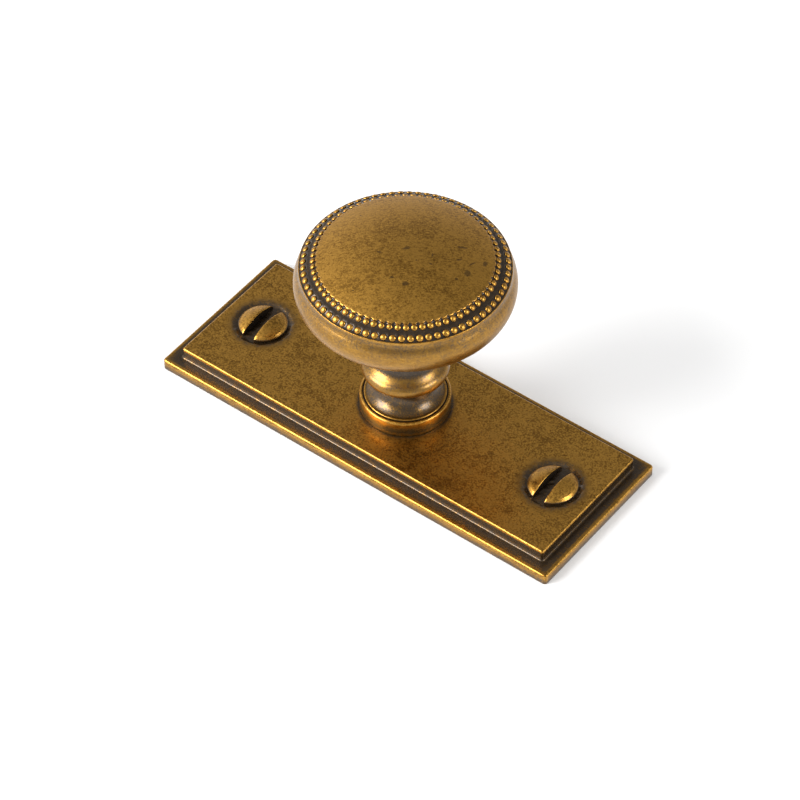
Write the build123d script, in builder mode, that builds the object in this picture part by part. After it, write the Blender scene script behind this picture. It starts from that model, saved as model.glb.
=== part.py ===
# A mushroom knob with two rings of beads round its crown, on a rectangular backplate
# whose two dummy slotted screw heads are cast in one with it.
# Millimetres, +Z up. The origin is the middle of the backplate's back, and +X runs along its length.
from build123d import *
from math import cos, radians, sin, tan
import os

os.makedirs("parts", exist_ok=True)

# Backplate slab
plate_length = 76.0
plate_width = 29.0
slab_thickness = 2.0
slab_corner_radius = 0.6
slab_edge_round = 0.35

# Platform on the slab
ledge_width = 2.3
platform_rise = 2.1
platform_corner_radius = 0.4
platform_edge_round = 0.3
riser_fillet = 0.3
platform_height = slab_thickness + platform_rise

# Dummy screw heads
screw_spacing = 57.6
head_diameter = 8.0
head_dome_rise = 1.2
head_skirt = 0.3
hollow_width = 0.9
hollow_depth = 0.3
slot_width = 2.1

# Fixing screw, M4, through the backplate into the knob
thread_tap_diameter = 3.3
thread_depth = 12.0
thread_mouth_chamfer = 0.5
drill_point_angle = 59.0
screw_hole_clearance = 0.5
screw_diameter = 4.0

# Foot of the knob
foot_radius = 7.3
foot_height = 2.9
foot_edge_chamfer = 0.4
groove_width = 0.3
groove_depth = 0.35
ring_width = 0.4
ring_rise = 0.15

# Cove, collar and neck
cove_radius = 4.45
cove_height = 5.4
cove_top_height = 7.75
collar_radius = 7.0
collar_height = 9.0
collar_round = 1.4
collar_underside_reach = 0.6
collar_top_angle = 55.0
neck_radius = 4.9
flare_radius = 7.6

# Head, with the insets measured inwards from the lip outside the beads
underside_slope = 20.0
rim_radius = 17.3
rim_height = 27.3
rim_lower_round = 4.7
rim_upper_round = 3.5
rim_upper_angle = 33.0
cavetto_round = 1.9
cavetto_lip_angle = 10.0
bead_step_inset = 1.35
bead_step_rise = 0.85
crown_inset = 2.6
crown_step = 0.9
crown_rise = 2.6

# Beads
bead_count = 72
outer_bead_inset = 0.61
outer_bead_diameter = 1.08
inner_bead_inset = 2.06
inner_bead_diameter = 0.92
bead_rise = 0.8
bead_taper = 15.0


with BuildPart() as backplate:
    with BuildSketch():
        RectangleRounded(plate_length, plate_width, slab_corner_radius)
    extrude(amount=slab_thickness)
    fillet(backplate.faces().sort_by(Axis.Z)[-1].edges(), slab_edge_round)

    with BuildSketch(Plane.XY.offset(slab_thickness)):
        RectangleRounded(plate_length - 2 * ledge_width, plate_width - 2 * ledge_width, platform_corner_radius)
    extrude(amount=platform_rise)
    riser_base = backplate.edges(Select.LAST).filter_by_position(Axis.Z, slab_thickness, slab_thickness)
    fillet(riser_base, riser_fillet)
    fillet(backplate.faces().sort_by(Axis.Z)[-1].edges(), platform_edge_round)

    for screw_x in (-screw_spacing / 2, screw_spacing / 2):
        screw_axis = Axis((screw_x, 0, 0), (0, 0, 1))
        screw_section = Plane(origin=(screw_x, 0, platform_height), x_dir=(1, 0, 0), z_dir=(0, -1, 0))
        head_radius = head_diameter / 2

        # The shallow hollow left round each head by the casting
        with BuildSketch(screw_section):
            with BuildLine():
                Polyline(
                    (0, 0),
                    (head_radius + hollow_width, 0),
                    (head_radius, -hollow_depth),
                    (0, -hollow_depth),
                    close=True,
                )
            make_face()
        revolve(axis=screw_axis, mode=Mode.SUBTRACT)

        with BuildSketch(screw_section):
            with BuildLine():
                skirt = Line((head_radius, -hollow_depth), (head_radius, head_skirt))
                crest = (0, head_skirt + head_dome_rise)
                TangentArc(crest, skirt @ 1, tangent=(1, 0))
                Polyline(crest, (0, -hollow_depth), skirt @ 0)
            make_face()
        revolve(axis=screw_axis)

        # The slot runs across the plate, down to the hollow's floor
        with BuildSketch(Plane.XY.offset(platform_height - hollow_depth)):
            with Locations((screw_x, 0)):
                Rectangle(slot_width, head_diameter)
        extrude(amount=hollow_depth + head_skirt + head_dome_rise, mode=Mode.SUBTRACT)

    with Locations((0, 0, platform_height)):
        Hole(radius=(screw_diameter + screw_hole_clearance) / 2)


# Half section of the knob: x is the distance from its axis and y the height above the platform
knob_section = Plane(origin=(0, 0, platform_height), x_dir=(1, 0, 0), z_dir=(0, -1, 0))
slope = radians(underside_slope)
collar_turn = radians(collar_top_angle)
rim_turn = radians(rim_upper_angle)
lip_turn = radians(cavetto_lip_angle)

rim_start = Vector(rim_radius - rim_lower_round * (1 - sin(slope)), rim_height - rim_lower_round * cos(slope))
flare_end_x = neck_radius + flare_radius * (1 - sin(slope))
flare_end = Vector(flare_end_x, rim_start.Y - (rim_start.X - flare_end_x) * tan(slope))
flare_start = Vector(neck_radius, flare_end.Y - flare_radius * cos(slope))
collar_centre = Vector(collar_radius - collar_round, collar_height)
collar_end = collar_centre + collar_round * Vector(cos(collar_turn), sin(collar_turn))
neck_fillet = (collar_end.X - neck_radius) / (1 - cos(collar_turn))
neck_start = Vector(neck_radius, collar_end.Y + neck_fillet * sin(collar_turn))
cavetto_start = Vector(
    rim_radius - rim_upper_round * (1 - cos(rim_turn)),
    rim_height + rim_upper_round * sin(rim_turn),
)
lip = cavetto_start + cavetto_round * Vector(cos(rim_turn) - cos(lip_turn), sin(rim_turn) + sin(lip_turn))
bead_step_radius = lip.X - bead_step_inset
inner_ground = lip.Y + bead_step_rise
crown_edge = Vector(lip.X - crown_inset, inner_ground + crown_step)

groove_outer = foot_radius - foot_edge_chamfer
ring_outer = groove_outer - groove_width
ring_crest = foot_height + ring_rise
cove_start = (ring_outer - ring_width, ring_crest)
cove_end = (collar_centre.X - collar_underside_reach, cove_top_height)

with BuildPart() as knob:
    with BuildSketch(knob_section):
        with BuildLine():
            Polyline(
                (0, 0),
                (foot_radius, 0),
                (foot_radius, foot_height - foot_edge_chamfer),
                (groove_outer, foot_height),
                (groove_outer, foot_height - groove_depth),
                (ring_outer, foot_height - groove_depth),
                (ring_outer, ring_crest - ring_width / 2),
                cove_start,
            )
            ThreePointArc(cove_start, (cove_radius, cove_height), cove_end)
            ThreePointArc(cove_end, (collar_radius, collar_height), collar_end)
            RadiusArc(collar_end, neck_start, neck_fillet)
            Line(neck_start, flare_start)
            RadiusArc(flare_start, flare_end, flare_radius)
            Line(flare_end, rim_start)
            RadiusArc(rim_start, (rim_radius, rim_height), -rim_lower_round)
            RadiusArc((rim_radius, rim_height), cavetto_start, -rim_upper_round)
            RadiusArc(cavetto_start, lip, cavetto_round)
            Polyline(
                lip,
                (bead_step_radius, lip.Y),
                (bead_step_radius, inner_ground),
                (crown_edge.X, inner_ground),
                crown_edge,
            )
            crown_top = (0, crown_edge.Y + crown_rise)
            TangentArc(crown_top, crown_edge, tangent=(1, 0))
            Line(crown_top, (0, 0))
        make_face()
    revolve(axis=Axis.Z)

    # Each bead is a low six-sided stud with sloping sides, standing on its step.
    # The inner beads face the gaps between the outer ones.
    for ground, inset, bead_diameter, first_angle in (
        (lip.Y, outer_bead_inset, outer_bead_diameter, 0),
        (inner_ground, inner_bead_inset, inner_bead_diameter, 180 / bead_count),
    ):
        with BuildSketch(Plane.XY.offset(platform_height + ground)):
            with PolarLocations(lip.X - inset, bead_count, start_angle=first_angle):
                RegularPolygon(bead_diameter / 2, 6)
        extrude(amount=bead_rise, taper=bead_taper)

    # Blind tapped hole from below, with its countersunk mouth and drill point
    with BuildSketch(knob_section):
        tap_radius = thread_tap_diameter / 2
        with BuildLine():
            Polyline(
                (0, 0),
                (tap_radius + thread_mouth_chamfer, 0),
                (tap_radius, thread_mouth_chamfer),
                (tap_radius, thread_depth),
                (0, thread_depth + tap_radius / tan(radians(drill_point_angle))),
                close=True,
            )
        make_face()
    revolve(axis=Axis.Z, mode=Mode.SUBTRACT)

backplate.part.label = "backplate"
export_step(backplate.part, "parts/backplate.step")
knob.part.label = "knob"
export_step(knob.part, "parts/knob.step")
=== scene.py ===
# A mushroom knob of aged brass on its backplate: two rings of beads, a turned stem and two
# dummy screw heads. Sizes are in millimetres and become metres where a mesh is made.
from math import cos, degrees, pi, radians, sin, sqrt, tan

import bpy
import numpy as np
from mathutils import Matrix, Vector


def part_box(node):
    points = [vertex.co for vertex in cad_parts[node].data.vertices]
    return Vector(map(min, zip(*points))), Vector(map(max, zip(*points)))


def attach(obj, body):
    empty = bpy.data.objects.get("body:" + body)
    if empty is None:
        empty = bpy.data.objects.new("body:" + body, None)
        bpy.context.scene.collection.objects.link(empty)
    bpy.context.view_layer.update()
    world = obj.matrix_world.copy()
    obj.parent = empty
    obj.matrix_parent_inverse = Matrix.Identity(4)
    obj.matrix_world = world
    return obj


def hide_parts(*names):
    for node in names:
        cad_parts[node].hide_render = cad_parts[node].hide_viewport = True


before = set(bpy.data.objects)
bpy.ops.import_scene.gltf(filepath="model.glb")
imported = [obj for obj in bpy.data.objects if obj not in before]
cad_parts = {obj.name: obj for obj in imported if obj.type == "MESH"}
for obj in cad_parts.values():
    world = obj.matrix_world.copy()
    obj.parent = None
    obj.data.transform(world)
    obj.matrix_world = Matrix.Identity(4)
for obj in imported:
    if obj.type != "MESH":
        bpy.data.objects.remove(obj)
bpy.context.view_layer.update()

MM = 0.001


def box_mm(node):
    """The low and high corners of a CAD piece's box, in millimetres."""
    low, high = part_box(node)
    return np.array(low) / MM, np.array(high) / MM


plate_low, plate_high = box_mm("backplate")
knob_low, knob_high = box_mm("knob")

# Backplate
PLATE_LENGTH, PLATE_WIDTH = (plate_high - plate_low)[:2]
PLATFORM_HEIGHT = knob_low[2]
SLAB_THICKNESS = 2.0
SLAB_CORNER = 0.6
SLAB_EDGE_ROUND = 0.35
BACK_EDGE_ROUND = 0.15
LEDGE_WIDTH = 2.3
PLATFORM_CORNER = 0.4
PLATFORM_EDGE_ROUND = 0.3
RISER_FILLET = 0.3
SCREW_HOLE_RADIUS = 2.25

# Points of the platform's grid along and across it, and points round each of its corners
GRID_COLUMNS, GRID_ROWS = 301, 111
CORNER_POINTS = 5
# Half the side of the square left open round the screw hole, in cells of the grid
HOLE_PATCH = 14

# Dummy screw heads
SCREW_X = 28.8
HEAD_RADIUS = 4.0
HEAD_SKIRT = 0.3
HEAD_RISE = 1.2
HOLLOW_WIDTH = 0.9
HOLLOW_DEPTH = 0.3
SLOT_WIDTH = 2.1

# Knob, with heights above the platform and angles in degrees
TAP_RADIUS = 1.65
THREAD_PITCH = 0.7
THREAD_HEIGHT = 0.35
THREAD_DEPTH = 12.0
MOUTH_CHAMFER = 0.5
DRILL_POINT_ANGLE = 59.0
FOOT_RADIUS = 7.3
FOOT_HEIGHT = 2.9
FOOT_EDGE_ROUND = 0.4
GROOVE_WIDTH = 0.3
GROOVE_DEPTH = 0.32
RING_WIDTH = 0.4
RING_RISE = 0.15
COVE_RADIUS = 4.45
COVE_HEIGHT = 5.4
COVE_TOP_HEIGHT = 7.75
COLLAR_RADIUS = 7.0
COLLAR_HEIGHT = 9.0
COLLAR_ROUND = 1.4
COLLAR_UNDERSIDE_REACH = 0.6
COLLAR_TOP_ANGLE = 55.0
NECK_RADIUS = 4.9
FLARE_RADIUS = 7.6
UNDERSIDE_SLOPE = 20.0
RIM_RADIUS = knob_high[0]
RIM_HEIGHT = 27.3
RIM_LOWER_ROUND = 4.7
RIM_UPPER_ROUND = 3.5
RIM_TOP_ANGLE = 33.0
CAVETTO_ROUND = 1.9
LIP_ANGLE = -10.0
CROWN_STEP = 0.9
CROWN_RISE = 2.6

# Beads, with the insets measured inwards from the lip outside them.
# The inner ring's ground is a step above the outer one's, and a cap's middle is lifted off its ground.
BEAD_COUNT = 72
BEAD_STEP_RISE = 0.85
BEAD_LIFT = 0.42
BEAD_FLATNESS = 0.5
BEAD_TILT = radians(45.0)
CROWN_INSET = 2.6
OUTER_BEAD_INSET = 0.71
OUTER_BEAD_RADIUS = 0.55
INNER_BEAD_INSET = 2.18
INNER_BEAD_RADIUS = 0.50

# Points in a ring of the knob's mesh: inside the hole, up the stem and over the crown, and at the beads
COARSE, MIDDLE, FINE = 60, 240, 720

DULL_BRASS = (0.25, 0.120, 0.018, 1.0)
BRIGHT_BRASS = (0.70, 0.370, 0.062, 1.0)
SMOKED_BRASS = (0.19, 0.096, 0.021, 1.0)
# The film and patina colours also paint shade where a piece's value holds painted shade.
BROWN_FILM_AND_SHADE = (0.26, 0.142, 0.036, 1.0)
PIT_BROWN = (0.045, 0.028, 0.012, 1.0)
DARK_PATINA_AND_SHADE = (0.026, 0.015, 0.007, 1.0)
PALE_PATINA_AND_SHADE = (0.065, 0.040, 0.018, 1.0)

# Each mark is its centre, its half length, its half width and its angle in degrees about +Z
CROWN_STAINS = (
    ((0.3, -0.2, 39.0), 0.75, 0.35, 60),
    ((4.2, 1.2, 38.8), 0.5, 0.2, 120),
    ((5.1, -0.4, 38.7), 0.35, 0.25, 0),
    ((6.5, 5.9, 38.0), 0.9, 0.22, 35),
    ((7.7, 3.4, 38.1), 0.6, 0.2, 60),
    ((9.5, 4.4, 37.6), 0.7, 0.15, 80),
    ((10.7, 5.9, 37.0), 0.7, 0.35, 110),
    ((10.1, 2.2, 37.6), 0.8, 0.6, 110),
    ((9.6, 0.1, 37.8), 0.3, 0.3, 0),
    ((4.3, -5.8, 38.3), 0.6, 0.45, 40),
    ((-2.6, -3.2, 38.8), 0.4, 0.25, 20),
    ((2.0, -6.1, 38.5), 0.4, 0.25, 50),
)
RIM_SCRATCHES = (
    ((0.9, -16.0, 33.4), 0.15, 0.9, 20),
    ((1.6, -16.2, 33.3), 0.15, 0.8, 25),
    ((2.3, -16.3, 33.2), 0.15, 1.0, 20),
    ((3.3, -16.4, 33.1), 0.15, 0.7, 30),
)


class Link:
    """A node's output that takes part in arithmetic, one Math node for each step."""

    def __init__(self, tree, socket):
        self.tree = tree
        self.socket = socket

    def maths(self, operation, *values):
        return add_node(self.tree, "ShaderNodeMath", {"operation": operation}, dict(enumerate(values)))

    def __add__(self, other):
        return self.maths("ADD", self, other)

    def __sub__(self, other):
        return self.maths("SUBTRACT", self, other)

    def __mul__(self, other):
        return self.maths("MULTIPLY", self, other)

    def __truediv__(self, other):
        return self.maths("DIVIDE", self, other)

    def __rsub__(self, other):
        return self.maths("SUBTRACT", other, self)

    def __rtruediv__(self, other):
        return self.maths("DIVIDE", other, self)

    def __abs__(self):
        return self.maths("ABSOLUTE", self)

    __radd__ = __add__
    __rmul__ = __mul__

    def larger(self, other):
        return self.maths("MAXIMUM", self, other)

    def clamped(self):
        """The value kept between 0 and 1."""
        return self.maths("MINIMUM", self.larger(0.0), 1.0)

    def sibling(self, output):
        """Another output of the same node."""
        return Link(self.tree, self.socket.node.outputs[output])


def add_node(tree, kind, settings=None, values=None, output=0):
    """A new node, with its settings made first and then its sockets set to values or linked.

    It comes back as the Link of one output, or as nothing where the node has no outputs.
    """
    made = tree.nodes.new(kind)
    for key, value in (settings or {}).items():
        setattr(made, key, value)
    for key, value in (values or {}).items():
        if isinstance(value, Link):
            tree.links.new(value.socket, made.inputs[key])
        else:
            made.inputs[key].default_value = value
    return Link(tree, made.outputs[output]) if made.outputs else None


class Graph:
    """A node tree under construction."""

    def __init__(self, tree):
        self.tree = tree
        self.tree.nodes.clear()

    def node(self, kind, settings=None, values=None, output=0):
        return add_node(self.tree, kind, settings, values, output)

    def between(self, value, low, high, start=0.0, end=1.0):
        """A smooth step from start to end as the value goes from low to high."""
        return self.node(
            "ShaderNodeMapRange",
            {"interpolation_type": "SMOOTHSTEP"},
            {"Value": value, "From Min": low, "From Max": high, "To Min": start, "To Max": end},
        )


class Finish(Graph):
    """A material under construction."""

    def __init__(self, name):
        self.material = bpy.data.materials.new(name)
        self.material.use_nodes = True
        super().__init__(self.material.node_tree)

    def along(self, vector, centre=(0.0, 0.0, 0.0), size=(1.0, 1.0, 1.0), angle=0.0):
        """The vector from a centre, turned back by an angle about +Z and divided by a size on each axis."""
        return self.node(
            "ShaderNodeMapping",
            {"vector_type": "TEXTURE"},
            {"Vector": vector, "Location": centre, "Rotation": (0.0, 0.0, angle), "Scale": size},
        )

    def noise(self, vector, size, detail=3.0, roughness=0.6):
        """Noise whose blotches are about size millimetres across, as a number round 0."""
        made = self.node(
            "ShaderNodeTexNoise",
            {"noise_dimensions": "3D"},
            {"Vector": vector, "Scale": 1.0 / (size * MM), "Detail": detail, "Roughness": roughness},
        )
        return made - 0.5

    def mix(self, factor, first, second):
        """Mixes two colours."""
        return self.node("ShaderNodeMix", {"data_type": "RGBA"}, {0: factor, 6: first, 7: second}, output=2)

    def pits(self, vector, size, spacing, share):
        """Small scattered pits, 1 inside them, in that share of the cells."""
        distance = self.node(
            "ShaderNodeTexVoronoi",
            {"feature": "F1"},
            {"Vector": vector, "Scale": 1.0 / (spacing * MM)},
            output="Distance",
        )
        chance = self.node("ShaderNodeSeparateColor", values={0: distance.sibling("Color")})
        chosen = self.between(chance, 1.0 - share, 1.0 - share * 0.4)
        reach = size / spacing
        return chosen * self.between(distance, reach * 0.45, reach, 1.0, 0.0)

    def mark(self, vector, fray, centre, half_length, half_width, angle):
        """A ragged oval mark, nearly 1 inside it. The fray moves its edge in and out."""
        depth = 0.8
        size = [extent * MM for extent in (half_length, half_width, depth)]
        oval = self.along(vector, [c * MM for c in centre], size, radians(angle))
        away = self.node("ShaderNodeVectorMath", {"operation": "LENGTH"}, {0: oval}, output="Value")
        return self.between(away + fray, 0.6, 1.1, 0.9, 0.0)

    def close(self, surface):
        self.node("ShaderNodeOutputMaterial", values={"Surface": surface})
        return self.material


def aged_brass(name, drawn_strength, streak_angle=0.0, streak_stretch=1.0, marks=()):
    """Brass with a dark, glossy patina where the piece's own value of patina and painted shade is high,
    rubbed back elsewhere.

    Drawn lines run level round the walls. Streaks are grain, stretched along an angle in radians.
    """
    finish = Finish(name)
    place = finish.node("ShaderNodeTexCoord", output="Object")
    # This per-point value is patina, and painted shade on the foot's side, round the foot and low on the
    # plate's sides.
    patina_and_shade_level = finish.node("ShaderNodeAttribute", {"attribute_name": "patina_and_shade"}, output="Fac")
    normal = finish.node("ShaderNodeNewGeometry", output="Normal")
    upright = finish.node("ShaderNodeSeparateXYZ", values={0: normal}, output="Z")
    wall = finish.between(abs(upright), 0.3, 0.7, 1.0, 0.0)
    grain = finish.along(place, size=(streak_stretch, 1.0, 1.0), angle=streak_angle)

    cloud = finish.noise(place, 4.5)
    mottle = finish.noise(place, 1.1, detail=4.0)
    speck = finish.noise(place, 0.3)
    grit = finish.noise(place, 0.13, detail=2.0)
    streak = finish.noise(grain, 0.3, roughness=0.55)
    drawn = finish.noise(finish.along(place, size=(9.0, 9.0, 0.6)), 0.3, roughness=0.55)

    # Rubbed metal: grain from dull to bright, with smoky patches, pits and stains
    fine_grain = streak * 0.8 + speck * 0.8 + grit + wall * drawn * drawn_strength
    tone = cloud * 0.7 + mottle * 0.5 + fine_grain + 0.5
    metal = finish.mix(finish.between(tone, 0.2, 0.8), DULL_BRASS, BRIGHT_BRASS)
    smoke = finish.between(cloud * 0.7 + mottle * 0.4 + streak * 0.2 + speck * 0.2, -0.14, 0.32)
    metal = finish.mix(smoke * 0.5, metal, SMOKED_BRASS)
    coarse_pits = finish.pits(place, size=0.20, spacing=1.5, share=0.35)
    fine_pits = finish.pits(place, size=0.09, spacing=0.5, share=0.25)
    blemish = (coarse_pits + fine_pits * 0.6).clamped()
    for mark in marks:
        blemish = blemish.larger(finish.mark(place, mottle * 0.8 + speck * 0.8, *mark))
    metal = finish.mix(blemish * 0.75, metal, PIT_BROWN)

    # A thin brown film round the dark patina and painted shade, both with ragged edges
    ragged = patina_and_shade_level + mottle * 0.55 + speck * 0.7 + grit * 0.45
    film_and_shade = finish.between(ragged, 0.05, 0.75)
    patina_and_shade = finish.between(ragged, 0.42, 0.85)
    patina_and_shade_colour = finish.mix(finish.between(mottle + speck * 0.8, -0.15, 0.3), DARK_PATINA_AND_SHADE, PALE_PATINA_AND_SHADE)
    colour = finish.mix(patina_and_shade, finish.mix(film_and_shade * 0.75, metal, BROWN_FILM_AND_SHADE), patina_and_shade_colour)

    metallic = 1.0 - patina_and_shade * 0.3 - blemish * 0.1
    roughness = 0.34 + mottle * 0.2 + speck * 0.16 + smoke * 0.06 - patina_and_shade * 0.08
    height = mottle * 0.35 + streak * 0.25 + speck * 0.22 * (patina_and_shade + 0.6) - blemish * 0.4
    bump = finish.node("ShaderNodeBump", values={"Strength": 0.5, "Distance": 0.05 * MM, "Height": height})
    brass = finish.node(
        "ShaderNodeBsdfPrincipled",
        values={
            "Base Color": colour,
            "Metallic": metallic.clamped(),
            "Roughness": roughness.clamped(),
            "Normal": bump,
            "Coat Weight": patina_and_shade * 0.42 + 0.14,
            "Coat Roughness": 0.24,
        },
    )
    return finish.close(brass)


class Skin:
    """A mesh under construction: points in millimetres, a value of patina and painted shade for each, and
    faces.
    """

    def __init__(self):
        self.points = []
        self.patina_and_shade = []
        self.faces = []

    def add(self, points, patina_and_shade):
        """Adds points with one value of patina and painted shade for all or one for each, and returns their
        numbers.
        """
        start = len(self.points)
        self.points += [tuple(point) for point in points]
        self.patina_and_shade += list(np.broadcast_to(patina_and_shade, len(points)))
        return list(range(start, len(self.points)))

    def face(self, *corners):
        """Adds a face. A corner that is given twice counts once."""
        self.faces.append(tuple(dict.fromkeys(corners)))

    def strip(self, first, second):
        """Joins two open lines of as many points."""
        for i in range(len(first) - 1):
            self.face(first[i], second[i], second[i + 1], first[i + 1])

    def band(self, lower, upper):
        """Joins two closed loops of as many points, both anticlockwise from above."""
        for i in range(len(lower)):
            j = (i + 1) % len(lower)
            self.face(lower[i], lower[j], upper[j], upper[i])

    def piece(self, name, material):
        """The finished object, smooth, with the patina and painted shade as an attribute of its points."""
        mesh = bpy.data.meshes.new(name)
        mesh.from_pydata([tuple(point) for point in np.array(self.points) * MM], [], self.faces)
        layer = mesh.attributes.new("patina_and_shade", "FLOAT", "POINT")
        layer.data.foreach_set("value", np.array(self.patina_and_shade, dtype=np.float32))
        mesh.validate()
        mesh.shade_smooth()
        mesh.materials.append(material)
        made = bpy.data.objects.new(name, mesh)
        bpy.context.collection.objects.link(made)
        return made


class Lathe(Skin):
    """Rings of points about the knob's axis, each ring stitched to the one before it."""

    def __init__(self):
        super().__init__()
        self.last = None

    def ring(self, radius, height, patina_and_shade, count):
        """Adds a ring. The radius, height and value of patina and painted shade are numbers or arrays of
        count values.
        """
        angle = np.arange(count) * 2 * pi / count
        radius, height = (np.broadcast_to(value, count) for value in (radius, height))
        circle = np.stack([radius * np.cos(angle), radius * np.sin(angle), height + PLATFORM_HEIGHT], -1)
        fresh = self.add(circle, patina_and_shade)
        if self.last is not None:
            self.stitch(self.last, fresh)
        self.last = fresh

    def stitch(self, first, second):
        """Joins two rings. Either may be a single point, or have a whole multiple of the other's points."""
        if len(first) == 1:
            for i, number in enumerate(second):
                self.face(first[0], second[(i + 1) % len(second)], number)
            return
        if len(second) == 1:
            self.band(first, second * len(first))
            return
        shared = min(len(first), len(second))
        for i in range(shared):
            sides = []
            for ring in (first, second):
                share = len(ring) // shared
                sides.append([ring[(i * share + step) % len(ring)] for step in range(share + 1)])
            self.face(*sides[0], *reversed(sides[1]))

    def turn(self, outline, count):
        for radius, height, patina_and_shade in outline.stations:
            self.ring(radius, height, patina_and_shade, count)


class Outline:
    """A half section as stations of radius, height and value of patina and painted shade. On the plate the
    radius is an inset.
    """

    def __init__(self, radius, height, patina_and_shade):
        self.stations = [(radius, height, patina_and_shade)]

    def line(self, radius, height, patina_and_shade, steps=1):
        """A straight line to a point, with the value of patina and painted shade changing evenly to a new
        value.
        """
        here = np.array(self.stations[-1])
        end = np.array((radius, height, patina_and_shade))
        for step in range(1, steps + 1):
            self.stations.append(tuple(here + (end - here) * step / steps))
        return self

    def arc(self, centre, radius, start, end, patina_and_shade, steps=8):
        """An arc about a centre, from one angle to another in degrees, 0 outwards and 90 up."""
        here = self.stations[-1][2]
        for step in range(1, steps + 1):
            share = step / steps
            angle = radians(start + (end - start) * share)
            across = centre[0] + radius * cos(angle)
            up = centre[1] + radius * sin(angle)
            self.stations.append((across, up, here + (patina_and_shade - here) * share))
        return self

    def through(self, middle, end, patina_and_shade, steps=10):
        """An arc from the last station through a middle point to an end point."""
        a = np.array(self.stations[-1][:2])
        b = np.array(middle)
        c = np.array(end)
        rows = 2 * np.array([b - a, c - a])
        centre = np.linalg.solve(rows, [b @ b - a @ a, c @ c - a @ a])
        angles = np.unwrap([np.arctan2(*(point - centre)[::-1]) for point in (a, b, c)])
        radius = np.linalg.norm(a - centre)
        return self.arc(centre, radius, degrees(angles[0]), degrees(angles[2]), patina_and_shade, steps)


def smooth_step(value, low, high):
    """0 below low, 1 above high, and a smooth step between them."""
    t = np.clip((value - low) / (high - low), 0.0, 1.0)
    return t * t * (3 - 2 * t)


def wave_noise(x, y, size, seed):
    """Smooth random waves of about that size, mostly between -1 and 1."""
    random = np.random.default_rng(seed)
    total = np.zeros_like(x)
    waves = 14
    for _ in range(waves):
        direction = random.uniform(0, 2 * pi)
        length = size * random.uniform(0.7, 1.6)
        phase = random.uniform(0, 2 * pi)
        total += np.sin((x * np.cos(direction) + y * np.sin(direction)) * 2 * pi / length + phase)
    return total / waves ** 0.5


# Points on the knob's section that several features share
slope = radians(UNDERSIDE_SLOPE)
rim_top = radians(RIM_TOP_ANGLE)
lip_turn = radians(LIP_ANGLE)
RIM_START = (RIM_RADIUS - RIM_LOWER_ROUND * (1 - sin(slope)), RIM_HEIGHT - RIM_LOWER_ROUND * cos(slope))
FLARE_END_RADIUS = NECK_RADIUS + FLARE_RADIUS * (1 - sin(slope))
FLARE_END_HEIGHT = RIM_START[1] - (RIM_START[0] - FLARE_END_RADIUS) * tan(slope)
FLARE_CENTRE = (NECK_RADIUS + FLARE_RADIUS, FLARE_END_HEIGHT - FLARE_RADIUS * cos(slope))
COLLAR_CENTRE = (COLLAR_RADIUS - COLLAR_ROUND, COLLAR_HEIGHT)
CAVETTO_CENTRE = (
    RIM_RADIUS - RIM_UPPER_ROUND + (RIM_UPPER_ROUND + CAVETTO_ROUND) * cos(rim_top),
    RIM_HEIGHT + (RIM_UPPER_ROUND + CAVETTO_ROUND) * sin(rim_top),
)
LIP_RADIUS = CAVETTO_CENTRE[0] - CAVETTO_ROUND * cos(lip_turn)
OUTER_GROUND = CAVETTO_CENTRE[1] - CAVETTO_ROUND * sin(lip_turn)
INNER_GROUND = OUTER_GROUND + BEAD_STEP_RISE
CROWN_RADIUS = LIP_RADIUS - CROWN_INSET
CROWN_EDGE_HEIGHT = INNER_GROUND + CROWN_STEP


def threaded_hole(lathe):
    """The blind tapped hole, from its drill point to its countersunk mouth."""
    drill_tip = THREAD_DEPTH + TAP_RADIUS / tan(radians(DRILL_POINT_ANGLE))
    lathe.ring(0.0, drill_tip, 0.2, 1)
    lathe.ring(TAP_RADIUS, THREAD_DEPTH, 0.2, COARSE)
    rows = 128
    turns = np.arange(COARSE) / COARSE
    for row in range(1, rows):
        height = THREAD_DEPTH + (MOUTH_CHAMFER - THREAD_DEPTH) * row / rows
        phase = (height / THREAD_PITCH - turns) % 1.0
        groove = THREAD_HEIGHT * (1 - abs(2 * phase - 1))
        runout = min(1.0, row / 8, (rows - row) / 3)
        lathe.ring(TAP_RADIUS + groove * runout, height, 0.15, COARSE)
    lathe.ring(TAP_RADIUS, MOUTH_CHAMFER, 0.1, COARSE)
    lathe.ring(TAP_RADIUS + MOUTH_CHAMFER, 0.0, 0.1, COARSE)


def foot_outline():
    """The foot, from its underside to the crest of the ring at the start of the cove, with painted shade low
    on its side.
    """
    bottom_round = 0.12
    groove_round = 0.08
    shoulder = FOOT_HEIGHT - FOOT_EDGE_ROUND
    groove_outer = FOOT_RADIUS - FOOT_EDGE_ROUND
    groove_floor = FOOT_HEIGHT - GROOVE_DEPTH
    ring_outer = groove_outer - GROOVE_WIDTH
    ring_shoulder = FOOT_HEIGHT - 0.05
    foot = Outline(5.0, 0.0, 0.3)
    foot.line(FOOT_RADIUS - bottom_round, 0.0, 0.5, 3)
    foot.arc((FOOT_RADIUS - bottom_round, bottom_round), bottom_round, -90, 0, 0.35, 4)
    # Painted shade: the foot's side is painted darker towards the plate, fading out below the shoulder.
    foot.line(FOOT_RADIUS, 0.9, 0.85, 4)
    foot.line(FOOT_RADIUS, 1.8, 0.6, 3)
    foot.line(FOOT_RADIUS, shoulder, 0.05, 2)
    foot.arc((groove_outer, shoulder), FOOT_EDGE_ROUND, 0, 90, 0.0, 8)
    foot.arc((groove_outer, FOOT_HEIGHT - groove_round), groove_round, 90, 180, 0.5, 3)
    foot.line(groove_outer - groove_round, groove_floor, 0.85, 2)
    foot.line(ring_outer, groove_floor, 0.85, 2)
    foot.line(ring_outer, ring_shoulder, 0.6, 2)
    foot.arc((ring_outer - RING_WIDTH / 2, ring_shoulder), RING_WIDTH / 2, 0, 90, 0.1, 5)
    foot.line(ring_outer - RING_WIDTH, FOOT_HEIGHT + RING_RISE, 0.7, 2)
    return foot


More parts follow.
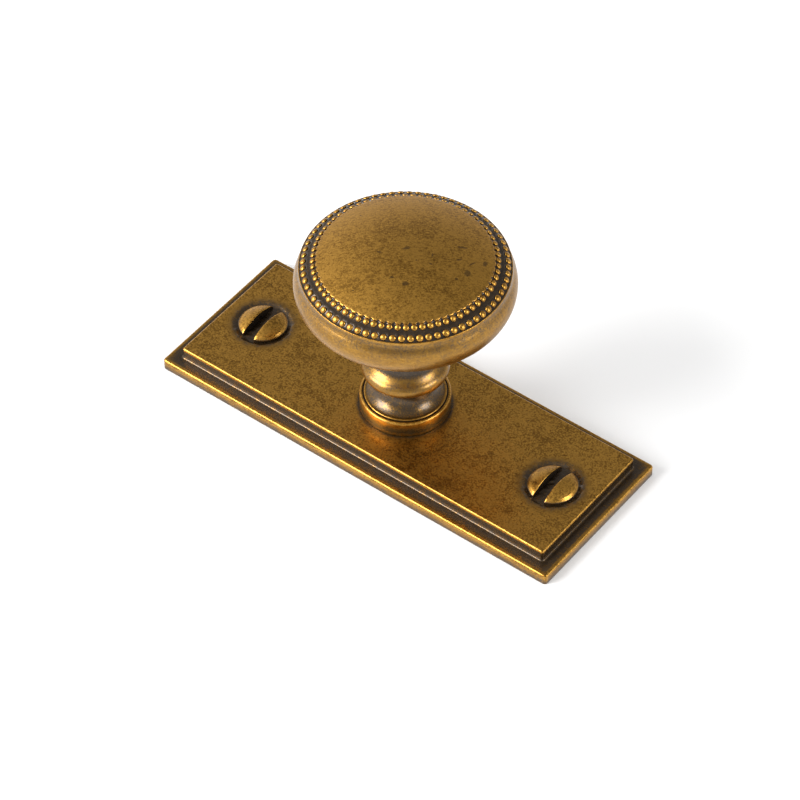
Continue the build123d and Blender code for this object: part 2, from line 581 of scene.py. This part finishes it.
def stem_outline():
    """From the foot's underside up to the lip outside the beads."""
    cove_end = (COLLAR_CENTRE[0] - COLLAR_UNDERSIDE_REACH, COVE_TOP_HEIGHT)
    underside = degrees(np.arctan2(COVE_TOP_HEIGHT - COLLAR_HEIGHT, -COLLAR_UNDERSIDE_REACH))
    turn = radians(COLLAR_TOP_ANGLE)
    neck_round = (COLLAR_CENTRE[0] + COLLAR_ROUND * cos(turn) - NECK_RADIUS) / (1 - cos(turn))
    neck_centre = (NECK_RADIUS + neck_round, COLLAR_HEIGHT + (COLLAR_ROUND + neck_round) * sin(turn))
    stem = foot_outline()
    stem.through((COVE_RADIUS, COVE_HEIGHT), cove_end, 0.88, 26)
    stem.arc(COLLAR_CENTRE, COLLAR_ROUND, underside, -50, 0.55, 8)
    stem.arc(COLLAR_CENTRE, COLLAR_ROUND, -50, 0, 0.46, 8)
    stem.arc(COLLAR_CENTRE, COLLAR_ROUND, 0, COLLAR_TOP_ANGLE, 0.6, 8)
    stem.arc(neck_centre, neck_round, 180 + COLLAR_TOP_ANGLE, 218, 0.55, 3)
    stem.arc(neck_centre, neck_round, 218, 205, 0.85, 4)
    stem.arc(neck_centre, neck_round, 205, 180, 1.0, 5)
    stem.line(NECK_RADIUS, FLARE_CENTRE[1], 1.0, 3)
    stem.arc(FLARE_CENTRE, FLARE_RADIUS, 180, 90 + UNDERSIDE_SLOPE, 0.5, 18)
    stem.line(*RIM_START, 0.3, 6)
    rim_centre = (RIM_RADIUS - RIM_LOWER_ROUND, RIM_HEIGHT)
    stem.arc(rim_centre, RIM_LOWER_ROUND, UNDERSIDE_SLOPE - 90, 0, 0.44, 18)
    stem.arc((RIM_RADIUS - RIM_UPPER_ROUND, RIM_HEIGHT), RIM_UPPER_ROUND, 0, RIM_TOP_ANGLE, 0.58, 9)
    stem.arc(CAVETTO_CENTRE, CAVETTO_ROUND, 180 + RIM_TOP_ANGLE, 185, 0.6, 9)
    stem.arc(CAVETTO_CENTRE, CAVETTO_ROUND, 185, 180 + LIP_ANGLE, 0.15, 5)
    return stem


def bead_band_and_crown(lathe):
    """The sloping band that the beads stand on, the crown's rounded edge with its notches, and the crown."""
    wave = np.cos(BEAD_COUNT * np.arange(FINE) * 2 * pi / FINE)
    inner_gap = np.maximum(0.0, wave)
    outer_gap = np.maximum(0.0, -wave)
    web_rise = 0.12
    for inset, rise, patina_and_shade in (
        (0.04, 0.05, 0.15),
        (0.10, 0.06, 0.25 + 0.4 * outer_gap),
        (0.20, 0.04, 0.9),
        (0.50, 0.18 + 0.5 * web_rise * outer_gap, 1.0),
        (0.85, 0.42 + web_rise * outer_gap, 1.0),
        (1.15, 0.68 + web_rise * outer_gap, 0.95),
        (1.35, 0.82, 0.85),
        (1.50, 0.86, 0.85),
        (1.70, 0.88, 0.95),
        (2.02, 1.05, 1.0),
        (2.30, 1.26 + 0.5 * web_rise * inner_gap, 1.0),
        (2.52 + 0.1 * inner_gap, 1.42, 0.95),
    ):
        lathe.ring(LIP_RADIUS - inset, OUTER_GROUND + rise, patina_and_shade, FINE)

    dome_radius = (CROWN_RADIUS ** 2 + CROWN_RISE ** 2) / (2 * CROWN_RISE)
    dome_centre = CROWN_EDGE_HEIGHT + CROWN_RISE - dome_radius
    edge_round = 0.3
    notch_depth = 0.22
    shoulder_radius = CROWN_RADIUS - edge_round
    shoulder_height = dome_centre + sqrt((dome_radius - edge_round) ** 2 - shoulder_radius ** 2)
    end_angle = np.arccos(shoulder_radius / (dome_radius - edge_round))
    for share in np.linspace(0.0, 1.0, 7):
        angle = end_angle * share
        low = 1 - share
        lathe.ring(
            shoulder_radius + edge_round * cos(angle) - notch_depth * inner_gap * (0.3 + 0.7 * low),
            shoulder_height + edge_round * sin(angle),
            0.12 + 0.3 * low + 0.75 * inner_gap * (0.45 + 0.55 * low),
            FINE,
        )

    def crown_ring(inset, patina_and_shade, count):
        radius = CROWN_RADIUS - inset
        lathe.ring(radius, dome_centre + sqrt(dome_radius ** 2 - radius ** 2), patina_and_shade, count)

    for inset, patina_and_shade in ((0.45, 0.12 + 0.2 * inner_gap), (0.6, 0.08), (0.95, 0.03), (1.55, 0.03)):
        crown_ring(inset, patina_and_shade, FINE)
    for inset in np.linspace(2.25, CROWN_RADIUS - 0.4, 29):
        crown_ring(inset, 0.05, MIDDLE)
    crown_ring(CROWN_RADIUS, 0.05, 1)


def knob_turning(material):
    """The knob without its beads, from its tapped hole round to the middle of its crown."""
    lathe = Lathe()
    threaded_hole(lathe)
    lathe.turn(stem_outline(), MIDDLE)
    bead_band_and_crown(lathe)
    return lathe.piece("knob_turning", material)


def bead_tree(material):
    """A node tree that sets tilted round caps in a ring, with their patina higher towards the ground."""
    tree = bpy.data.node_groups.new("bead ring", "GeometryNodeTree")
    graph = Graph(tree)
    tree.interface.new_socket("Geometry", in_out="INPUT", socket_type="NodeSocketGeometry")
    for name, kind in (
        ("Count", "NodeSocketInt"),
        ("Ring radius", "NodeSocketFloat"),
        ("Ring height", "NodeSocketFloat"),
        ("Bead radius", "NodeSocketFloat"),
        ("First angle", "NodeSocketFloat"),
    ):
        tree.interface.new_socket(name, in_out="INPUT", socket_type=kind)
    tree.interface.new_socket("Geometry", in_out="OUTPUT", socket_type="NodeSocketGeometry")

    count = graph.node("NodeGroupInput", output="Count")
    first_angle = count.sibling("First angle")
    bead_radius = count.sibling("Bead radius")

    circle = graph.node(
        "GeometryNodeMeshCircle",
        {"fill_type": "NONE"},
        {"Vertices": count, "Radius": count.sibling("Ring radius")},
    )
    lift = graph.node("ShaderNodeCombineXYZ", values={"Z": count.sibling("Ring height")})
    start = graph.node("ShaderNodeCombineXYZ", values={"Z": first_angle})
    ring = graph.node(
        "GeometryNodeTransform",
        values={"Geometry": circle, "Translation": lift, "Rotation": start},
    )

    ball = graph.node("GeometryNodeMeshUVSphere", values={"Segments": 12, "Rings": 7, "Radius": bead_radius})
    position = graph.node("GeometryNodeInputPosition")
    height = graph.node("ShaderNodeSeparateXYZ", values={0: position}, output="Z")
    patina_and_shade = graph.node(
        "ShaderNodeMapRange",
        values={
            "Value": height / bead_radius,
            "From Min": -0.35,
            "From Max": 0.25,
            "To Min": 1.0,
            "To Max": 0.0,
        },
    )
    aged = graph.node(
        "GeometryNodeStoreNamedAttribute",
        {"data_type": "FLOAT", "domain": "POINT"},
        {"Geometry": ball, "Name": "patina_and_shade", "Value": patina_and_shade},
    )
    cap = graph.node(
        "GeometryNodeTransform",
        values={"Geometry": aged, "Scale": (1.0, 1.0, BEAD_FLATNESS), "Rotation": (0.0, BEAD_TILT, 0.0)},
    )
    smooth = graph.node("GeometryNodeSetShadeSmooth", values={"Geometry": cap})

    heading = graph.node("GeometryNodeInputIndex") * (2 * pi / count) + first_angle
    outwards = graph.node("ShaderNodeCombineXYZ", values={"Z": heading})
    swell = graph.node(
        "FunctionNodeRandomValue",
        {"data_type": "FLOAT"},
        {2: 0.93, 3: 1.06, "Seed": 4},
        output=1,
    )
    beads = graph.node(
        "GeometryNodeInstanceOnPoints",
        values={"Points": ring, "Instance": smooth, "Rotation": outwards, "Scale": swell},
    )
    real = graph.node("GeometryNodeRealizeInstances", values={"Geometry": beads})
    dressed = graph.node("GeometryNodeSetMaterial", values={"Geometry": real, "Material": material})
    graph.node("NodeGroupOutput", values={0: dressed})
    return tree


def from_tree(name, tree, values):
    """Runs a node tree with the values of its named inputs, and returns the plain mesh that it makes."""
    holder = bpy.data.objects.new(name, bpy.data.meshes.new(name))
    bpy.context.collection.objects.link(holder)
    modifier = holder.modifiers.new(name, "NODES")
    modifier.node_group = tree
    for item in tree.interface.items_tree:
        if item.item_type == "SOCKET" and item.in_out == "INPUT" and item.name in values:
            modifier[item.identifier] = values[item.name]
    ready = holder.evaluated_get(bpy.context.evaluated_depsgraph_get())
    mesh = bpy.data.meshes.new_from_object(ready)
    mesh.name = name
    holder.modifiers.remove(modifier)
    holder.data = mesh
    return holder


def bead_ring(name, tree, inset, ground, bead_radius, first_angle):
    """One ring of beads, at an inset from the lip."""
    return from_tree(
        name,
        tree,
        {
            "Count": BEAD_COUNT,
            "Ring radius": (LIP_RADIUS - inset) * MM,
            "Ring height": (PLATFORM_HEIGHT + ground + BEAD_LIFT) * MM,
            "Bead radius": bead_radius * MM,
            "First angle": first_angle,
        },
    )


def plate_edge_outline():
    """Inset, height and patina of the plate's edge, from its back up to the platform's face, with painted
    shade low on the slab's side.
    """
    slab_shoulder = SLAB_THICKNESS - SLAB_EDGE_ROUND
    riser_foot = LEDGE_WIDTH - RISER_FILLET
    platform_shoulder = PLATFORM_HEIGHT - PLATFORM_EDGE_ROUND
    edge = Outline(0.9, 0.0, 0.4)
    edge.line(BACK_EDGE_ROUND, 0.0, 0.5, 2)
    # Painted shade: the slab's side is painted darker towards its bottom edge, along the floor.
    edge.arc((BACK_EDGE_ROUND, BACK_EDGE_ROUND), BACK_EDGE_ROUND, 270, 180, 0.75, 4)
    edge.line(0.0, 0.8, 0.6, 3)
    edge.line(0.0, slab_shoulder, 0.1, 5)
    edge.arc((SLAB_EDGE_ROUND, slab_shoulder), SLAB_EDGE_ROUND, 180, 90, 0.15, 8)
    edge.line(SLAB_EDGE_ROUND + 0.4, SLAB_THICKNESS, 0.75, 3)
    edge.line(riser_foot - 0.15, SLAB_THICKNESS, 0.88, 5)
    edge.line(riser_foot, SLAB_THICKNESS, 0.75)
    edge.arc((riser_foot, SLAB_THICKNESS + RISER_FILLET), RISER_FILLET, 270, 360, 0.75, 6)
    edge.line(LEDGE_WIDTH, platform_shoulder - 0.35, 0.8, 4)
    edge.line(LEDGE_WIDTH, platform_shoulder, 0.25, 2)
    edge.arc((LEDGE_WIDTH + PLATFORM_EDGE_ROUND, platform_shoulder), PLATFORM_EDGE_ROUND, 180, 90, 0.0, 8)
    edge.line(LEDGE_WIDTH + PLATFORM_EDGE_ROUND + 0.4, PLATFORM_HEIGHT, 0.05, 2)
    return edge


def rounded_ring(inset):
    """Points round a rectangle set in from the plate's edge, in step along its straight sides."""
    half_x = PLATE_LENGTH / 2 - inset
    half_y = PLATE_WIDTH / 2 - inset
    on_the_slab = inset < 2 * SLAB_EDGE_ROUND
    corner = max((SLAB_CORNER if on_the_slab else PLATFORM_CORNER + LEDGE_WIDTH) - inset, 0.02)
    bend = np.radians(-90 + 90 * np.arange(1, CORNER_POINTS + 1) / (CORNER_POINTS + 1))
    long_side = (half_x, half_y, GRID_COLUMNS)
    short_side = (half_y, half_x, GRID_ROWS)
    sides = []
    for side, (along, across, count) in enumerate((long_side, short_side, long_side, short_side)):
        span = np.linspace(corner - along, along - corner, count)
        line = np.stack([span, np.full(count, -across)], -1)
        centre = np.array((along - corner, corner - across))
        curve = centre + corner * np.stack([np.cos(bend), np.sin(bend)], -1)
        turn = np.radians(90 * side)
        spin = np.array([[np.cos(turn), np.sin(turn)], [-np.sin(turn), np.cos(turn)]])
        sides.append(np.concatenate([line, curve]) @ spin)
    return np.concatenate(sides)


def platform_surface(x, y):
    """Height and patina of the platform's face, with the rough hollow under each screw head, and painted
    shade in a ring round the knob's foot.
    """
    height = np.full_like(x, PLATFORM_HEIGHT)
    patina_and_shade = np.full_like(x, 0.06)
    for screw_x in (-SCREW_X, SCREW_X):
        away = np.hypot(x - screw_x, y)
        ragged = away + 0.06 * wave_noise(x, y, 1.5, 3)
        sunk = 1 - smooth_step(ragged, HEAD_RADIUS + 0.15, HEAD_RADIUS + HOLLOW_WIDTH)
        near = 1 - smooth_step(away, HEAD_RADIUS + 0.6, HEAD_RADIUS + 1.8)
        height -= HOLLOW_DEPTH * sunk - 0.035 * near * wave_noise(x, y, 0.9, 5)
        frayed = away + 0.12 * wave_noise(x, y, 1.1, 7)
        patina_and_shade = np.maximum(patina_and_shade, 0.82 - 0.78 * smooth_step(frayed, HEAD_RADIUS, HEAD_RADIUS + 3.0))
    # Painted shade: a dark ring on the platform round the knob's foot, where the two meet.
    painted_contact_shade = 0.85 - 0.8 * smooth_step(np.hypot(x, y), FOOT_RADIUS, FOOT_RADIUS + 1.1)
    return height, np.maximum(patina_and_shade, painted_contact_shade)


def sides_of(block):
    """The four sides of a block of grid points, anticlockwise from its low corner."""
    return block[0], block[:, -1], block[-1, ::-1], block[::-1, 0]


def platform_face(skin, edge_ring, inset):
    """Covers the platform with a grid, leaving a square open in its middle. Returns the square's points."""
    half_x = PLATE_LENGTH / 2 - inset
    half_y = PLATE_WIDTH / 2 - inset
    x, y = np.meshgrid(np.linspace(-half_x, half_x, GRID_COLUMNS), np.linspace(-half_y, half_y, GRID_ROWS))
    height, patina_and_shade = platform_surface(x, y)
    grid = np.reshape(skin.add(np.stack([x, y, height], -1).reshape(-1, 3), patina_and_shade.ravel()), x.shape)

    middle_row, middle_column = GRID_ROWS // 2, GRID_COLUMNS // 2
    open_rows = range(middle_row - HOLE_PATCH, middle_row + HOLE_PATCH)
    open_columns = range(middle_column - HOLE_PATCH, middle_column + HOLE_PATCH)
    for row in range(GRID_ROWS - 1):
        for column in range(GRID_COLUMNS - 1):
            if row not in open_rows or column not in open_columns:
                low, high = grid[row:row + 2, column:column + 2].tolist()
                skin.face(low[0], low[1], high[1], high[0])

    border = []
    for side in sides_of(grid):
        border += side.tolist() + [int(side[-1])] * CORNER_POINTS
    skin.band(edge_ring, border)

    square = grid[open_rows.start:open_rows.stop + 1, open_columns.start:open_columns.stop + 1]
    return [number for side in sides_of(square) for number in side[:-1].tolist()]


def plate_casting(material):
    """The plate as rings round its edge, closed by a grid over the platform and by its back."""
    skin = Skin()
    stations = plate_edge_outline().stations
    edge = []
    for inset, height, patina_and_shade in stations:
        edge.append(skin.add([(x, y, height) for x, y in rounded_ring(inset)], patina_and_shade))
    for lower, upper in zip(edge, edge[1:]):
        skin.band(lower, upper)
    last_inset = stations[-1][0]
    loop = platform_face(skin, edge[-1], last_inset + 0.02)

    # The screw hole, from the square left open in the grid through to the back
    corners = np.array([skin.points[number][:2] for number in loop])
    circle = SCREW_HOLE_RADIUS * corners / np.linalg.norm(corners, axis=1, keepdims=True)
    for height in (PLATFORM_HEIGHT, PLATFORM_HEIGHT / 2, 0.0):
        fresh = skin.add([(x, y, height) for x, y in circle], 0.6)
        skin.band(loop, fresh)
        loop = fresh

    # The back, as a right and a left half that meet in line with the hole
    back = edge[0]
    front = GRID_COLUMNS // 2
    behind = front + GRID_COLUMNS + GRID_ROWS + 2 * CORNER_POINTS
    hole_front, hole_behind = HOLE_PATCH, 5 * HOLE_PATCH
    hole_left = loop[hole_behind:] + loop[:hole_front + 1]
    skin.face(*loop[hole_front:hole_behind + 1], *reversed(back[front:behind + 1]))
    skin.face(*hole_left, *reversed(back[:front + 1]), *reversed(back[behind:]))
    return skin.piece("plate_casting", material)


def screw_lobe(name, screw_x, side, material):
    """One half of a dummy screw head: a low dome cut off by the slot, with its tip away from it."""
    half_slot = SLOT_WIDTH / 2
    dome_radius = (HEAD_RADIUS ** 2 + HEAD_RISE ** 2) / (2 * HEAD_RISE)
    dome_centre = PLATFORM_HEIGHT + HEAD_SKIRT + HEAD_RISE - dome_radius
    bottom = PLATFORM_HEIGHT - HOLLOW_DEPTH - 0.1
    columns, rows = 34, 54
    skin = Skin()

    def add_line(x, y):
        """Points of the dome at one distance from the slot's middle, rolled down at the rim and the slot."""
        away = np.minimum(np.hypot(x, y), HEAD_RADIUS)
        rolled = 0.18 * smooth_step(away, HEAD_RADIUS - 0.5, HEAD_RADIUS)
        rolled += 0.07 * (1 - smooth_step(x - half_slot, 0.0, 0.22))
        height = dome_centre + np.sqrt(dome_radius ** 2 - away ** 2) - rolled
        points = np.stack([np.full_like(y, screw_x + side * x), side * y, height], -1)
        return skin.add(points, 0.08 + 0.7 * smooth_step(away, HEAD_RADIUS - 0.2, HEAD_RADIUS))

    spread = np.sin(np.linspace(-pi / 2, pi / 2, rows + 1))
    lines = []
    for column in range(columns):
        x = half_slot + (HEAD_RADIUS - half_slot) * (1 - (1 - column / columns) ** 1.6)
        lines.append(add_line(x, sqrt(HEAD_RADIUS ** 2 - x ** 2) * spread))
    tip = add_line(HEAD_RADIUS, np.zeros(1))
    for first, second in zip(lines, lines[1:] + [tip * (rows + 1)]):
        skin.strip(first, second)

    # The wall down from the dome's whole outline: one rim, the tip, the other rim, and along the slot
    rim = [line[0] for line in lines] + tip + [line[-1] for line in reversed(lines)] + lines[0][-2:0:-1]
    loop = rim
    for depth, patina_and_shade in ((0.06, 0.35), (0.25, 0.95), (None, 1.0)):
        wall = []
        for x, y, height in (skin.points[number] for number in rim):
            wall.append((x, y, bottom if depth is None else max(height - depth, bottom + 0.02)))
        fresh = skin.add(wall, patina_and_shade)
        skin.band(fresh, loop)
        loop = fresh
    skin.face(*reversed(loop))
    return skin.piece(name, material)


def camera():
    """The camera at the photograph's angle, with a long lens far from the knob."""
    azimuth, elevation = radians(37.27), radians(47.04)
    distance = 646.3
    shift_right, shift_up = -0.85, 3.22
    focal_pixels, photo_pixels = 4061.7, 800
    back = Vector((sin(azimuth) * cos(elevation), -cos(azimuth) * cos(elevation), sin(elevation)))
    right = Vector((cos(azimuth), sin(azimuth), 0.0))
    up = back.cross(right)
    data = bpy.data.cameras.new("camera")
    data.sensor_width = 36.0
    data.lens = focal_pixels * data.sensor_width / photo_pixels
    data.clip_start = 0.01
    made = bpy.data.objects.new("camera", data)
    place = Matrix.Translation((back * distance + right * shift_right + up * shift_up) * MM)
    made.matrix_world = place @ Matrix((right, up, back)).transposed().to_4x4()
    bpy.context.collection.objects.link(made)
    bpy.context.scene.camera = made


def softbox(name, direction, distance, side, power):
    """A square lamp that faces the knob, with its distance and side in metres."""
    data = bpy.data.lights.new(name, "AREA")
    data.shape = "SQUARE"
    data.size = side
    data.energy = power
    made = bpy.data.objects.new(name, data)
    away = Vector(direction).normalized()
    turn = away.to_track_quat("Z", "Y").to_matrix().to_4x4()
    made.matrix_world = Matrix.Translation(away * distance) @ turn
    bpy.context.collection.objects.link(made)


def room():
    """A grey room, brighter level with the knob, on its left and high in front."""
    world = bpy.data.worlds.new("studio")
    world.use_nodes = True
    bpy.context.scene.world = world
    graph = Graph(world.node_tree)
    direction = graph.node("ShaderNodeTexCoord", output="Generated")

    def facing(towards, start, end, strength):
        """Light that grows with how far a direction faces that way."""
        dot = graph.node(
            "ShaderNodeVectorMath",
            {"operation": "DOT_PRODUCT"},
            {0: direction, 1: Vector(towards).normalized()},
            output="Value",
        )
        return graph.between(dot, start, end, 0.0, strength)

    level = facing((0, 0, -1), -0.65, -0.05, 0.38)
    left = facing((-0.95, -0.25, 0.15), 0.30, 0.95, 0.55)
    high_front = facing((-0.25, -0.5, 0.83), 0.55, 1.0, 0.30)
    background = graph.node("ShaderNodeBackground", values={"Color": level + left + high_front + 0.33})
    graph.node("ShaderNodeOutputWorld", values={"Surface": background})


def white_floor():
    """A white floor that keeps the shadow, with a faint glow where it is seen, mirrored or seen through."""
    finish = Finish("floor white")
    paper = finish.node("ShaderNodeBsdfDiffuse", values={"Color": (0.93, 0.93, 0.93, 1.0)})
    glow = finish.node("ShaderNodeEmission", values={"Color": (1.0, 1.0, 1.0, 1.0), "Strength": 1.0})
    ray = finish.node("ShaderNodeLightPath", output="Is Camera Ray")
    seen = ray + ray.sibling("Is Glossy Ray") + ray.sibling("Is Transmission Ray")
    material = finish.close(finish.node("ShaderNodeMixShader", values={0: seen * 0.15, 1: paper, 2: glow}))
    half = 3.0
    mesh = bpy.data.meshes.new("floor")
    corners = [(-half, -half, 0), (half, -half, 0), (half, half, 0), (-half, half, 0)]
    mesh.from_pydata(corners, [], [(0, 1, 2, 3)])
    mesh.materials.append(material)
    plane = bpy.data.objects.new("floor", mesh)
    bpy.context.collection.objects.link(plane)


bpy.context.scene.view_settings.view_transform = "Standard"
camera()
softbox("key", (-0.50, -0.70, 0.52), 0.8, 0.45, 9.0)
softbox("fill", (0.97, 0.18, 0.55), 0.8, 0.35, 3.5)
room()
white_floor()

knob_brass = aged_brass("aged_brass_knob", 0.4, radians(37), 2.0, CROWN_STAINS + RIM_SCRATCHES)
plate_brass = aged_brass("aged_brass_plate", 1.5)

beads = bead_tree(knob_brass)
half_pitch = pi / BEAD_COUNT
knob_pieces = [
    knob_turning(knob_brass),
    bead_ring("outer_beads", beads, OUTER_BEAD_INSET, OUTER_GROUND, OUTER_BEAD_RADIUS, 0.0),
    bead_ring("inner_beads", beads, INNER_BEAD_INSET, INNER_GROUND, INNER_BEAD_RADIUS, half_pitch),
]
plate_pieces = [plate_casting(plate_brass)]
for side_name, screw_x in (("left", -SCREW_X), ("right", SCREW_X)):
    plate_pieces += [
        screw_lobe(side_name + "_screw_outer_half", screw_x, 1, plate_brass),
        screw_lobe(side_name + "_screw_inner_half", screw_x, -1, plate_brass),
    ]

for piece in knob_pieces:
    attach(piece, "root")
    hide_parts("knob")
for piece in plate_pieces:
    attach(piece, "root")
    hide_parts("backplate")
